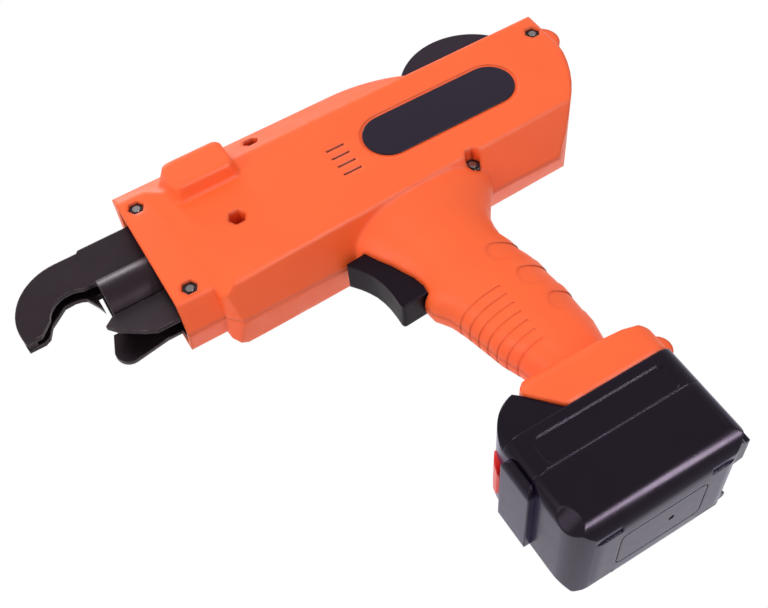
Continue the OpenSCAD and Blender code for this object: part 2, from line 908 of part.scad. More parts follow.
// Outside line of the hook from its tip back to the nose, inset by t
function hook_back(t, tip) = concat(
    arc([hook_x, hook_z], hook_r - t, asin((tip - hook_z) / (hook_r - t)), 90),
    [[nose_x + notch_from, jaw_z - notch_depth - t],
     [nose_x + notch_from - notch_depth, jaw_z - t], [nose_x - tang_gap, jaw_z - t],
     [nose_x - tang_gap, twist_z + tang_up - t], [tang_x, twist_z + tang_up - t]]);

// One cheek as a plate, with the given line of its mouth and height of its tip
module cheek_plate(mouth, tip) {
    difference() {
        side_slab(concat([[tang_x, twist_z - tang_down], [nose_x - tang_gap, twist_z - tang_down],
                          [nose_x - tang_gap, fold_z], [tunnel_x, fold_z]], mouth, hook_back(0, tip)),
                  cheek_y, cheek_out);
        bar_x(tunnel_r - tunnel_wall, tang_x - overrun, tunnel_x + overrun, 0, twist_z);
        for (i = [0, 1])
            bar_y(bolt_r + seat, 0, half_w, bolt_places[i][0], bolt_places[i][1]);
    }
    intersection() {
        difference() {
            bar_x(tunnel_r, tang_x, tunnel_x, 0, twist_z);
            bar_x(tunnel_r - tunnel_wall, tang_x - overrun, tunnel_x + overrun, 0, twist_z);
        }
        box([tang_x - overrun, cheek_y, twist_z - tunnel_d],
            [tunnel_x + overrun, tunnel_d, twist_z + tunnel_d]);
    }
}

module left_cheek() {
    color([0.2, 0.17, 0.19])
        cheek_plate(concat([[tunnel_x, twist_z + tunnel_r - tunnel_wall]],
                           arc([mouth_x, twist_z], mouth_r, mouth_from, mouth_to),
                           [[hook_x + hook_r - tip_width, tip_z]]), tip_z);
}

module right_cheek() {
    color([0.2, 0.17, 0.19])
        mirror([0, 1, 0])
            cheek_plate([for (s = concat(throat_shares, lip_shares)) [mouth_x, twist_z] + mouth_r * s],
                        twist_z + lip_shares[len(lip_shares) - 1][1] * mouth_r);
}

// Filling between the cheeks that leads the wire round
module curl_guide() {
    r = wire_z - twist_z + channel_lift;
    color([0.26, 0.23, 0.25])
        difference() {
            side_prism(concat([[tang_x, twist_z + r]], arc([mouth_x, twist_z], r, 90, 0),
                              hook_back(core_inset, twist_z)), cheek_gap);
            bar_y(bolt_r + seat, -half_w, half_w, bolt_places[0][0], bolt_places[0][1]);
        }
}

// Flared plate below the tunnel, folded about its upper edge
module lower_guide(line) {
    low = line[len(line) - 1][1];
    difference() {
        translate([0, cheek_out, fold_z])
            rotate([flare, 0, 0])
                side_slab(concat([[nose_x - guide_back, 0]],
                                 [for (p = line) [nose_x + p[0], p[1]]],
                                 [[nose_x, low],
                                  [nose_x, -guide_drop * guide_tail_share],
                                  [nose_x - guide_back, -guide_drop * guide_tail_share]]), 0, sheet);
        bar_y(bolt_r + seat, 0, half_w, bolt_places[1][0], bolt_places[1][1]);
    }
}

module left_lower_guide() {
    color([0.22, 0.19, 0.21])
        lower_guide([for (s = guide_left_shares) [s[0] * jaw_reach, -s[1] * guide_drop]]);
}

module right_lower_guide() {
    color([0.22, 0.19, 0.21])
        mirror([0, 1, 0])
            lower_guide(concat([[guide_lead, 0]],
                               arc([lobe_ahead, -lobe_low], lobe_r, lobe_from, lobe_to),
                               [[guide_end[0], -guide_end[1]]]));
}

module jaw_spacer() {
    color([0.35, 0.34, 0.36])
        difference() {
            bar_y(spacer_d / 2, -cheek_y, cheek_y, bolt_places[1][0], bolt_places[1][1]);
            bar_y(bolt_r + seat, -cheek_gap, cheek_gap, bolt_places[1][0], bolt_places[1][1]);
        }
}

// Block that carries shaft and rollers
module inner_frame() {
    color([0.6, 0.6, 0.62])
        difference() {
            box([frame_rear, -frame_half, twist_z - frame_down],
                [frame_front, frame_half, twist_z + frame_up]);
            bar_x(shaft_r + running, frame_rear - overrun, frame_front + overrun, 0, twist_z);
            bar_x(wire_hole / 2, frame_rear - overrun, frame_front + overrun, 0, wire_z);
            box([roller_x - roller_d / 2 - slot_room, -slot_half,
                 wire_z - roller_shift - roller_d / 2 - slot_room],
                [roller_x + roller_d / 2 + slot_room, slot_half, twist_z + frame_up + overrun]);
            bar_y(axle_r + running, -frame_half + axle_in, frame_half + overrun, roller_x,
                  wire_z + roller_shift);
            bar_y(axle_r + seat, -frame_half + axle_in, frame_half - axle_in, roller_x,
                  wire_z - roller_shift);
            for (side = [0, 1])
                mirror([0, side, 0])
                    bar_y(bolt_r + seat, frame_half - frame_screw_grip, frame_half + overrun,
                          frame_screw_x, frame_screw_z);
        }
}

module twist_motor() {
    color([0.45, 0.45, 0.48])
        bar_x(motor_d / 2, motor_rear, gearbox_rear, 0, twist_z);
}

module gearbox() {
    color([0.3, 0.3, 0.32])
        difference() {
            bar_x(gearbox_d / 2, gearbox_rear, frame_rear, 0, twist_z);
            bar_x(shaft_r + running, frame_rear - shaft_inset, frame_rear + overrun, 0, twist_z);
        }
}

module twist_shaft() {
    color([0.7, 0.7, 0.72])
        bar_x(shaft_r, frame_rear - shaft_inset + play, frame_rear - shaft_inset + shaft_length, 0,
              twist_z);
}

// Head whose two claws catch the wire ends
module twist_head() {
    color([0.5, 0.5, 0.52]) {
        difference() {
            bar_x(head_r, head_x, head_x + head_length, 0, twist_z);
            bar_x(shaft_r, head_x - overrun, frame_rear - shaft_inset + shaft_length, 0, twist_z);
        }
        for (side = [-1, 1])
            intersection() {
                bar_x(head_r - claw_inset, head_x + head_length, head_x + head_length + claw_length,
                      0, twist_z);
                box([head_x, side < 0 ? -head_r : claw_gap / 2, twist_z - claw_half],
                    [head_x + head_length + claw_length, side < 0 ? -claw_gap / 2 : head_r,
                     twist_z + claw_half]);
            }
    }
}

module feed_motor() {
    color([0.45, 0.45, 0.48])
        difference() {
            bar_y(feed_d / 2, frame_half, frame_half + feed_length, roller_x, wire_z + roller_shift);
            bar_y(axle_r + running, 0, frame_half + feed_bore, roller_x, wire_z + roller_shift);
        }
}

module drive_roller() {
    color([0.65, 0.65, 0.67]) {
        bar_y(roller_d / 2, -roller_half, roller_half, roller_x, wire_z + roller_shift);
        bar_y(axle_r, -frame_half + axle_in + play, frame_half + feed_bore - play, roller_x,
              wire_z + roller_shift);
    }
}

module pinch_roller() {
    color([0.65, 0.65, 0.67])
        difference() {
            bar_y(roller_d / 2, -roller_half, roller_half, roller_x, wire_z - roller_shift);
            bar_y(axle_r + running, -frame_half, frame_half, roller_x, wire_z - roller_shift);
        }
}

module pinch_axle() {
    color([0.7, 0.7, 0.72])
        bar_y(axle_r, -frame_half + axle_in, frame_half - axle_in, roller_x, wire_z - roller_shift);
}

// Tube that leads the wire from the reel to the rollers
module wire_tube() {
    color([0.55, 0.55, 0.58])
        difference() {
            bar_x(tube_d / 2, tube_rear, frame_rear, 0, wire_z);
            bar_x(wire_hole / 2, tube_rear - overrun, frame_rear + overrun, 0, wire_z);
        }
}

module reel() {
    color([0.21, 0.19, 0.25])
        difference() {
            union() {
                bar_y(hub_r, -reel_width / 2, reel_width / 2, reel_x, reel_z);
                for (y = [-reel_width / 2, reel_width / 2 - flange])
                    bar_y(reel_r, y, y + flange, reel_x, reel_z);
            }
            bar_y(reel_shaft_r + running, -half_w, half_w, reel_x, reel_z);
        }
}

module reel_shaft() {
    color([0.7, 0.7, 0.72])
        bar_y(reel_shaft_r, -half_w + wall, half_w - wall, reel_x, reel_z);
}

// Lower layers of wire as one plain core
module wire_core() {
    color([0.5, 0.47, 0.45])
        difference() {
            bar_y(core_r, -reel_width / 2 + flange, reel_width / 2 - flange, reel_x, reel_z);
            bar_y(hub_r, -half_w, half_w, reel_x, reel_z);
        }
}

// Middle line of the outer layer: one helix with a straight run at each end
wind_steps = wire_turns * loop_steps;
function wind_at(i) = let (a = 360 * i / loop_steps)
    [winding_r * cos(a), -winding_width / 2 + winding_width * i / wind_steps, winding_r * sin(a)];
function along(v) = v / norm(v);
wind_line = concat(
    [wind_at(0) - wire_d * along(wind_at(1) - wind_at(0))],
    [for (i = [0:wind_steps]) wind_at(i)],
    [wind_at(wind_steps) + wire_d * along(wind_at(wind_steps) - wind_at(wind_steps - 1))]);
wind_least = min([for (i = [0:wind_steps - loop_steps])
    norm(wind_at(i + loop_steps) - wind_at(i))]) - wire_d;
echo(least_gap_in_winding = wind_least);

module wire_winding() {
    n = len(wind_line);
    points = [for (i = [0:n - 1])
        let (p = wind_line[i],
             t = along(wind_line[min(i + 1, n - 1)] - wind_line[max(i - 1, 0)]),
             out = along([p[0], 0, p[2]]),
             side = along(cross(t, out)),
             up = cross(side, t))
        for (j = [0:tube_sides - 1])
            let (a = 360 * j / tube_sides)
                p + wire_r * (cos(a) * side + sin(a) * up)];
    faces = concat(
        [[for (j = [tube_sides - 1:-1:0]) j]],
        [[for (j = [0:tube_sides - 1]) (n - 1) * tube_sides + j]],
        [for (i = [0:n - 2], j = [0:tube_sides - 1])
            [i * tube_sides + j, i * tube_sides + (j + 1) % tube_sides, (i + 1) * tube_sides + j]],
        [for (i = [0:n - 2], j = [0:tube_sides - 1])
            [i * tube_sides + (j + 1) % tube_sides, (i + 1) * tube_sides + (j + 1) % tube_sides,
             (i + 1) * tube_sides + j]]);
    color([0.62, 0.6, 0.58])
        translate([reel_x, 0, reel_z])
            polyhedron(points, faces, convexity = 10);
}

// Thumb lever on the rear bolt
module reel_latch() {
    x = bolt_places[4][0];
    z = bolt_places[4][1];
    color([1, 0.41, 0.23])
        difference() {
            union() {
                bar_y(knob_r, -latch_half, latch_half, x - knob_back, z + knob_up);
                bar_y(latch_arm_r, -latch_half, latch_half, x, z);
                side_prism([[x - knob_back, z + knob_up - latch_arm], [x, z - latch_arm],
                            [x, z + latch_arm],
                            [x - knob_back, z + knob_up + latch_arm]], 2 * latch_half);
            }
            bar_y(bolt_r + running, -half_w, half_w, x, z);
        }
}

module trigger() {
    color([0.17, 0.16, 0.17]) {
        side_prism([for (s = trigger_shares)
            [trigger_rear + s[0] * trigger_reach, trigger_z + s[1] * trigger_height]], trigger_width);
        box([trigger_rear, -trigger_half - stop_width, trigger_z + stop_low_share * trigger_height],
            [trigger_rear + stop_depth, trigger_half + stop_width,
             trigger_z + stop_high_share * trigger_height]);
    }
}

module trigger_spring() {
    color([0.7, 0.7, 0.72])
        difference() {
            bar_x(spring_d / 2, switch_front, trigger_rear, 0, spring_z);
            bar_x(spring_d / 2 - spring_wall, switch_front - overrun, trigger_rear + overrun, 0,
                  spring_z);
        }
}

module trigger_switch() {
    color([0.15, 0.15, 0.17])
        box([switch_front - switch_length, -switch_half, switch_z],
            [switch_front, switch_half, switch_z + switch_height]);
}

module control_board() {
    color([0.1, 0.35, 0.2])
        box([board_rear, -board_half, board_z],
            [board_rear + board_length, board_half, board_z + board_height]);
}

// Block with the blades that stand in the battery's rail
module terminal_block() {
    z = deck_z + rail_high + play + block_gap;
    color([0.15, 0.15, 0.17]) {
        box([block_rear, -block_half, z], [block_rear + block_length, block_half, z + block_height]);
        for (i = [0:blade_count - 1]) {
            y = (i - (blade_count - 1) / 2) * blade_pitch;
            box([blade_rear, y - blade_half, z - blade_depth],
                [blade_rear + blade_length, y + blade_half, z]);
        }
    }
}

// Outside of the battery case between two heights
module case_block(z0, z1, t) {
    intersection() {
        translate([0, 0, z0])
            linear_extrude(z1 - z0)
                round_plan(half_l - t, half_b - t, corner_r - t);
        cross_prism(both(concat([[0, t]], arc([half_b - base_r, base_r], base_r - t, -90, 0),
                                [[half_b - t, deck_z + deck_z], [0, deck_z + deck_z]])),
                    -battery_length, battery_length);
        side_prism(both(concat([[0, t]], arc([half_l - end_r, end_r], end_r - t, -90, 0),
                               [[half_l - t, deck_z + deck_z],
                                [0, deck_z + deck_z]])), battery_width + overrun);
    }
}

// Cylinders where the cells lie, grown by t
module cell_bars(t) {
    for (i = [0:cell_count - 1], k = [0, 1])
        bar_x(cell_d / 2 + t, -cell_length / 2, cell_length / 2,
              (i - (cell_count - 1) / 2) * cell_pitch, cell_low + k * cell_pitch);
}

module battery_cells() {
    color([0.2, 0.35, 0.6])
        cell_bars(0);
}

module battery_lower_case() {
    color([0.13, 0.11, 0.14])
        difference() {
            union() {
                difference() {
                    union() {
                        case_block(0, split_z, 0);
                        bumper(0, split_z);
                    }
                    case_block(battery_wall, split_z + overrun, battery_wall);
                }
                for (side = [-1, 1])
                    intersection() {
                        case_block(0, split_z, battery_wall / 2);
                        box([side * cell_rib_x - cell_rib / 2, -half_b, 0],
                            [side * cell_rib_x + cell_rib / 2, half_b, cell_low]);
                    }
            }
            cell_bars(seat);
            for (i = [-1, 1], j = [-1, 1])
                translate([i * slot_mark_x, j * slot_mark_y, 0])
                    cube([slot_mark[0], slot_mark[1], 2 * slot_mark[2]], center = true);
            translate([drain_x, 0, -overrun])
                cylinder(r = drain_r, h = overrun + drain_depth);
            translate([0, 0, -overrun])
                linear_extrude(overrun + base_line_deep)
                    difference() {
                        round_plan(base_line[0], base_line[1], label_round);
                        round_plan(base_line[0] - base_line_wide, base_line[1] - base_line_wide,
                                   label_round - base_line_wide);
                    }
            for (j = [0, 1])
                mirror([0, j, 0])
                    translate([half_l - corner_r, half_b - corner_r, lens_z])
                        rotate([0, 0, 45])
                            bar_y(lens_r, -lens_length / 2, lens_length / 2,
                                  corner_r + lens_r - lens_deep, 0);
            for (j = [-1, 1])
                screw_bore(j);
        }
    color([0.13, 0.11, 0.14])
        for (j = [-1, 1])
            difference() {
                translate([-half_l + screw_in, j * screw_y, battery_wall])
                    cylinder(r = screw_boss_r, h = split_z - battery_wall);
                screw_bore(j);
            }
}

// Wedge behind the case that takes a fall, between two heights
module bumper(z0, z1) {
    intersection() {
        side_prism([[-half_l + end_r, bumper_z], [-half_l - bumper_reach, bumper_tip],
                    [-half_l - bumper_reach, bumper_tip + bumper_nose],
                    [-half_l, bumper_top], [-half_l + end_r, bumper_top]], 2 * bumper_half);
        box([-battery_length, -half_b, z0], [0, half_b, z1]);
    }
}

module screw_bore(j) {
    translate([-half_l + screw_in, j * screw_y, deck_z - screw_head - screw_length])
        cylinder(r = screw_r + seat, h = screw_length);
}

module battery_screws() {
    color([0.6, 0.6, 0.62])
        for (j = [-1, 1])
            translate([-half_l + screw_in, j * screw_y, deck_z - screw_head]) {
                translate([0, 0, -screw_length])
                    cylinder(r = screw_r, h = screw_length);
                cylinder(r = screw_head_r, h = screw_head - seat);
            }
}

module battery_upper_case() {
    color([0.14, 0.12, 0.15])
        difference() {
            union() {
                difference() {
                    union() {
                        case_block(split_z, deck_z, 0);
                        bumper(split_z, deck_z);
                    }
                    case_block(split_z - overrun, deck_z - battery_wall, battery_wall);
                }
                intersection() {
                    side_prism(concat([for (s = hump_shares) [s[0] * half_l, deck_z + s[1] * foot_height]],
                                      arc([half_l - hump_r, deck_z - hump_low], hump_r, hump_from, 0),
                                      [[half_l,
                                        deck_z + hump_shares[0][1] * foot_height]]), 2 * hump_half);
                    translate([0, 0, split_z])
                        linear_extrude(deck_z)
                            round_plan(half_l, hump_half, corner_r);
                }
                box([rail_rear, -rail_neck, deck_z - battery_wall],
                    [rail_rear + rail_length, rail_neck, deck_z + rail_high]);
                box([rail_rear, -rail_half, deck_z + rail_low],
                    [rail_rear + rail_length, rail_half, deck_z + rail_high]);
                for (side = [-1, 1])
                    intersection() {
                        case_block(split_z, deck_z - battery_wall / 2, battery_wall / 2);
                        box([side * cell_rib_x - cell_rib / 2, -half_b, split_z],
                            [side * cell_rib_x + cell_rib / 2, half_b, deck_z]);
                    }
                for (j = [-1, 1])
                    translate([-half_l + screw_in, j * screw_y, split_z])
                        cylinder(r = screw_boss_r, h = deck_z - split_z);
            }
            cell_bars(seat);
            contact_shape(seat);
            for (i = [0:blade_count - 1]) {
                y = (i - (blade_count - 1) / 2) * blade_pitch;
                box([rail_rear - overrun, y - blade_half - blade_play, deck_z + rail_high - blade_depth],
                    [blade_rear + blade_length + blade_play, y + blade_half + blade_play,
                     deck_z + rail_high + overrun]);
            }
            box([half_l - button_bay, -button_half - button_stop - play, deck_z - button_low - play],
                [half_l - button_stop_back + play, button_half + button_stop + play,
                 deck_z - button_low + button_height + play]);
            button_pill(half_l - button_bay, half_l + overrun, play);
            for (j = [-1, 1]) {
                screw_bore(j);
                translate([-half_l + screw_in, j * screw_y, deck_z - screw_head])
                    cylinder(r = screw_head_r + seat, h = screw_head + overrun);
            }
            for (j = [-1, 1])
                translate([0, j * half_b, deck_z - label_low - label_height / 2])
                    rotate([90, 0, 0])
                        linear_extrude(2 * label_depth, center = true)
                            round_plan(label_length / 2, label_height / 2, label_round);
        }
}

module contact_shape(t) {
    z = cell_low + cell_pitch + cell_d / 2 + contact_lift;
    box([-cell_length / 2 - t, -half_b + battery_wall + contact_in - t, z - t],
        [cell_length / 2 - button_bay + t, half_b - battery_wall - contact_in + t,
         z + contact_thick + t]);
}

module contact_board() {
    color([0.1, 0.35, 0.2])
        contact_shape(0);
}

module battery_front_panel() {
    h = (panel_high - panel_low) / 2;
    color([0.16, 0.14, 0.18])
        intersection() {
            translate([half_l, 0, panel_low + h])
                rotate([90, 0, 90])
                    linear_extrude(panel_proud)
                        round_plan(panel_half, h, panel_round);
            translate([0, 0, panel_low - overrun])
                linear_extrude(2 * (h + overrun))
                    round_plan(half_l + panel_proud, panel_half + panel_edge, corner_r);
        }
}

// Outline of the button run along x, grown by t
module button_pill(x0, x1, t) {
    translate([x0, 0, deck_z - button_low + button_height / 2])
        rotate([90, 0, 90])
            linear_extrude(x1 - x0)
                round_plan(button_half + t, button_height / 2 + t, button_round + t);
}

// Button with a sloping face; its stop keeps it in the bay
module release_button() {
    z0 = deck_z - button_low;
    color([0.9, 0.12, 0.1]) {
        intersection() {
            side_prism(concat([[half_l - button_rear, z0]],
                              [for (s = button_shares) [s[0] * half_l, z0 + s[1] * button_height]],
                              [[half_l - button_rear, z0 + button_height]]), 2 * button_half);
            button_pill(0, battery_length, 0);
        }
        box([half_l - button_stop_back - button_stop_depth, -button_half - button_stop, z0],
            [half_l - button_stop_back, button_half + button_stop, z0 + button_height]);
    }
}

module button_spring() {
    x1 = half_l - button_stop_back - button_stop_depth;
    z = deck_z - button_low + button_height / 2;
    color([0.7, 0.7, 0.72])
        difference() {
            bar_x(spring_d / 2, half_l - button_bay, x1, 0, z);
            bar_x(spring_d / 2 - spring_wall, half_l - button_bay - overrun, x1 + overrun, 0, z);
        }
}

left_casing();
right_casing();
casing_bolts();
casing_nuts();
frame_screws();
name_plate();
left_cheek();
right_cheek();
curl_guide();
left_lower_guide();
right_lower_guide();
jaw_spacer();
inner_frame();
twist_motor();
gearbox();
twist_shaft();
twist_head();
feed_motor();
drive_roller();
pinch_roller();
pinch_axle();
wire_tube();
reel();
reel_shaft();
wire_core();
wire_winding();
reel_latch();
trigger();
trigger_spring();
trigger_switch();
control_board();
terminal_block();
battery_lower_case();
battery_upper_case();
battery_front_panel();
release_button();
button_spring();
battery_cells();
contact_board();
battery_screws();
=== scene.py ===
import math

import bpy
from mathutils import Matrix, Vector

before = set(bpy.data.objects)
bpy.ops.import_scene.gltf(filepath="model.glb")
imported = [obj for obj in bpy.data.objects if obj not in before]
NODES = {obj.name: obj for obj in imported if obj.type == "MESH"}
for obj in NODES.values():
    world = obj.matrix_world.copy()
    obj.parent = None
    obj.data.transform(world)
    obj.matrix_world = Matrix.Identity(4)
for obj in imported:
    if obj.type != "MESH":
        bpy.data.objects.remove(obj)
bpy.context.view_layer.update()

bl_info = {
    "name": "Rebar Tying Tool Looks",
    "version": (1, 0, 0),
    "blender": (4, 5, 0),
    "location": "View3D > Sidebar > Tying Tool",
    "description": "Dresses the CAD of a cordless rebar tying tool and sets its stage",
    "category": "Object",
}

# Nodes that share one finish
HOUSING = ("left_casing", "right_casing", "reel_latch")
BOLTS = ("casing_bolts",)
NUTS = ("casing_nuts", "frame_screws", "battery_screws")
JAW = ("left_cheek", "right_cheek", "curl_guide", "left_lower_guide", "right_lower_guide")
BRIGHT = ("jaw_spacer", "twist_shaft", "twist_head", "drive_roller", "pinch_roller", "pinch_axle",
          "wire_tube", "reel_shaft", "trigger_spring", "button_spring")
CANS = ("twist_motor", "gearbox", "feed_motor")
WIRE = ("wire_core", "wire_winding")
BLACK = ("trigger", "trigger_switch", "terminal_block")
BOARDS = ("control_board", "contact_board")
BATTERY = ("battery_lower_case", "battery_upper_case", "battery_front_panel")

# Patterns in the finishes, in metres
CLOUD_SIZE = 0.028
SMUDGE_SIZE = 0.009
RUB_SIZE = 0.004
RUB_RADIUS = 0.0012
GRAIN_DEPTH = 0.0002
# Corners of a CAD mesh that lie nearer than this, in metres, are joined for the shading
WELD_GAP = 0.000004
# Brush lines: noise scale per metre and how much finer they are along Z
BRUSH_SCALE = 160.0
BRUSH_STRETCH = (1.0, 1.0, 14.0)
# Noise values between which a pattern goes from its least to its most
CLOUD_RANGE = (0.3, 0.7)
SMUDGE_RANGE = (0.3, 0.72)
RUB_RANGE = (0.42, 0.66)
# Roughness at the glossiest and dullest smudges, as shares of the finish's own
GLOSSY_SHARE = 0.85
DULL_SHARE = 1.2
# Openness to the outside at which the painted shade in a recess is darkest, and at which the recess is left
# unshaded
RECESS_SHADE_RANGE = (0.14, 0.5)
# Cosines of the turn between face and rounded edge at which rubbing starts, and is full
TURN_RANGE = (0.985, 0.86)
EDGE_SAMPLES = 6
# Samples of the painted shade in slots and pockets
RECESS_SHADE_SAMPLES = 8
SHEEN_ROUGHNESS = 0.4

# Tints of the reflections and the sheen, in sRGB
PLAIN_TINT = (1.0, 1.0, 1.0)
DARK_TINT = (0.96, 0.87, 1.0)
OIL_TINT = (1.0, 0.88, 0.95)
VIOLET = (0.64, 0.52, 0.93)

# Stage: white, the floor's grey in linear light, and what the lamps aim at
WHITE = (1.0, 1.0, 1.0, 1.0)
FLOOR_GREY = (0.45, 0.45, 0.45, 1.0)
FLOOR_ROUGHNESS = 0.9
FLOOR_CORNERS = 96
AIM = Vector((0.02, 0.0, 0.12))
# Direction that the width of each lamp is turned towards
LAMP_WAY = Vector((0.173, 0.16, 0.138))
# Each lamp: name, place, size, its power setting, whether it lights surfaces, whether it shines in them
LAMPS = (
    ("Key", (-0.3, 0.61, -0.45), (0.36, 0.16), "key_power", False, True),
    ("Fill", (0.1, 0.9, 0.3), (0.5, 0.5), "fill_power", True, False),
    ("Top", (0.08, 0.2, 1.15), (0.3, 0.3), "top_power", True, True),
    ("Front", (0.85, 0.45, 0.02), (0.5, 0.5), "front_power", True, True),
    ("Side", (-0.1, -0.95, 0.4), (0.8, 0.8), "side_power", True, False),
)
# Camera of the photograph, looking up at the tool from low on its left
CAMERA_PLACE = (0.17249, 0.43544, -0.11654)
CAMERA_RIGHT = Vector((-0.85244, -0.05904, -0.51948))
CAMERA_UP = Vector((-0.45660, 0.56807, 0.68469))
CAMERA_NEAR = 0.01
LENS_MM = 53.44
SENSOR_MM = 36.0


def colour_prop(name, description, default):
    """Colour property of an sRGB triple."""
    return bpy.props.FloatVectorProperty(
        name=name, description=description, default=default, subtype="COLOR_GAMMA", size=3, min=0.0, max=1.0)


def length_prop(name, description, default):
    """Length property in metres."""
    return bpy.props.FloatProperty(name=name, description=description, default=default, unit="LENGTH")


def power_prop(name, description, default):
    """Lamp power property in watts."""
    return bpy.props.FloatProperty(name=name, description=description, default=default, unit="POWER")


class TyingToolColours(bpy.types.PropertyGroup):
    shell: colour_prop("Casing", "Orange of the moulded casings and the latch", (1.0, 0.39, 0.165))
    plate: colour_prop("Plate", "Dark bare plate on the left casing", (0.08, 0.06, 0.115))
    bolt: colour_prop("Bolts", "Steel of the bolt ends", (0.5, 0.48, 0.48))
    nut: colour_prop("Nuts", "Darkened steel of nuts and screws", (0.2, 0.18, 0.19))
    nut_rub: colour_prop("Nut Rub", "Steel where the nuts are rubbed bare", (0.4, 0.38, 0.38))
    jaw: colour_prop("Jaw", "Blued sheet steel of the jaw", (0.085, 0.055, 0.07))
    jaw_rub: colour_prop("Jaw Rub", "Steel where the jaw's edges are rubbed", (0.42, 0.37, 0.39))
    reel: colour_prop("Reel", "Dark plastic of the reel", (0.12, 0.075, 0.12))
    wire: colour_prop("Wire", "Annealed tying wire", (0.5, 0.48, 0.47))
    black: colour_prop("Black Plastic", "Trigger, switch and terminal block", (0.075, 0.045, 0.07))
    bright: colour_prop("Bright Steel", "Ground shafts, rollers and claws", (0.66, 0.66, 0.68))
    can: colour_prop("Motor Cans", "Drawn steel of motors and gearbox", (0.5, 0.5, 0.53))
    alloy: colour_prop("Frame Alloy", "Cast inner frame", (0.66, 0.66, 0.68))
    board: colour_prop("Boards", "Lacquered circuit boards", (0.08, 0.32, 0.17))
    battery: colour_prop("Battery", "Polished black of the battery case", (0.05, 0.03, 0.055))
    button: colour_prop("Button", "Red of the release button", (0.88, 0.1, 0.08))
    cell: colour_prop("Cells", "Shrink wrap of the cells", (0.2, 0.35, 0.6))


class TyingToolSettings(bpy.types.PropertyGroup):
    edge_radius: length_prop("Edge Radius", "Radius that softens the plate, button and cells", 0.0009)
    casing_edge: length_prop("Casing Edge", "Radius that softens the edges of the orange casings", 0.0036)
    smooth_angle: bpy.props.FloatProperty(
        name="Smooth Angle", description="Edges flatter than this are shaded smooth",
        default=math.radians(26), subtype="ANGLE")
    grain_size: length_prop("Grain Size", "Size of the spark-eroded grain on the moulded casings", 0.0005)
    # Reach of the painted shade that darkens slots and pockets
    recess_shade_reach: length_prop("Recess Reach", "How near a wall must stand to darken a slot or pocket", 0.004)
    key_power: power_prop("Key Power", "Power of the low light that edges shine from", 8.0)
    fill_power: power_prop("Fill Power", "Power of the broad light on the tool's left side", 2.4)
    top_power: power_prop("Top Power", "Power of the light above the tool", 2.5)
    front_power: power_prop("Front Power", "Power of the soft light ahead of the jaw", 2.5)
    side_power: power_prop("Side Power", "Power of the soft light on the tool's right side", 4.0)
    floor_drop: length_prop("Floor Drop", "Gap between the floor and the battery that stands on it", 0.0003)
    floor_radius: length_prop("Floor Radius", "Radius of the round floor", 3.0)
    floor_glow: bpy.props.FloatProperty(
        name="Floor Glow", description="Light that lifts the pale floor to the white of the room",
        default=0.5, min=0.0)
    room_light: bpy.props.FloatProperty(
        name="Room Light", description="Strength of the white room's light on the tool",
        default=0.62, min=0.0)


def linear(srgb):
    """Linear colour of an sRGB triple."""
    return tuple(c / 12.92 if c <= 0.04045 else ((c + 0.055) / 1.055) ** 2.4 for c in srgb) + (1.0,)


def add(tree, kind, **values):
    """New node in a tree, with its settings and input sockets set by name."""
    node = tree.nodes.new(kind)
    for key, value in values.items():
        if hasattr(node, key):
            setattr(node, key, value)
        else:
            node.inputs[key.replace("_", " ")].default_value = value
    return node


def join(tree, source, out, target, into):
    """Link one node's output to another's input."""
    tree.links.new(source.outputs[out], target.inputs[into])


def noise(tree, coord, size, detail=3.0, rough=0.55):
    """Noise texture whose features have the given size in metres."""
    node = add(tree, "ShaderNodeTexNoise", Scale=1.0 / size, Detail=detail, Roughness=rough)
    join(tree, coord, "Object", node, "Vector")
    return node


def ramp(tree, source, out, low, high, a, b):
    """Map Range of a value from low..high to a..b."""
    node = add(tree, "ShaderNodeMapRange", From_Min=low, From_Max=high, To_Min=a, To_Max=b)
    join(tree, source, out, node, "Value")
    return node


def scaled(tree, colour, amount):
    """Colour output times the result of a ramp."""
    node = add(tree, "ShaderNodeVectorMath", operation="SCALE")
    tree.links.new(colour, node.inputs[0])
    join(tree, amount, "Result", node, "Scale")
    return node.outputs["Vector"]


def mottled(tree, coord, srgb, mottle):
    """Base colour with soft clouds in it."""
    cloud = noise(tree, coord, CLOUD_SIZE, detail=4.0)
    base = tree.nodes.new("ShaderNodeRGB")
    base.outputs["Color"].default_value = linear(srgb)
    shade = ramp(tree, cloud, "Fac", *CLOUD_RANGE, 1.0 - mottle, 1.0 + mottle)
    return scaled(tree, base.outputs["Color"], shade)


def brushed(tree, coord, colour, streak):
    """Fine lines from drawing and rolling."""
    stretch = add(tree, "ShaderNodeMapping", Scale=BRUSH_STRETCH)
    join(tree, coord, "Object", stretch, "Vector")
    lines = add(tree, "ShaderNodeTexNoise", Scale=BRUSH_SCALE, Detail=6.0)
    join(tree, stretch, "Vector", lines, "Vector")
    return scaled(tree, colour, ramp(tree, lines, "Fac", *CLOUD_RANGE, 1.0 - streak, 1.0 + streak))


def painted_recess_shade(tree, colour, recess_shade, reach):
    """Colour with painted shade: it darkens in slots and pockets by how little of the outside they see."""
    openness = add(tree, "ShaderNodeAmbientOcclusion", samples=RECESS_SHADE_SAMPLES, only_local=True, Distance=reach)
    return scaled(tree, colour, ramp(tree, openness, "AO", *RECESS_SHADE_RANGE, 1.0 - recess_shade, 1.0))


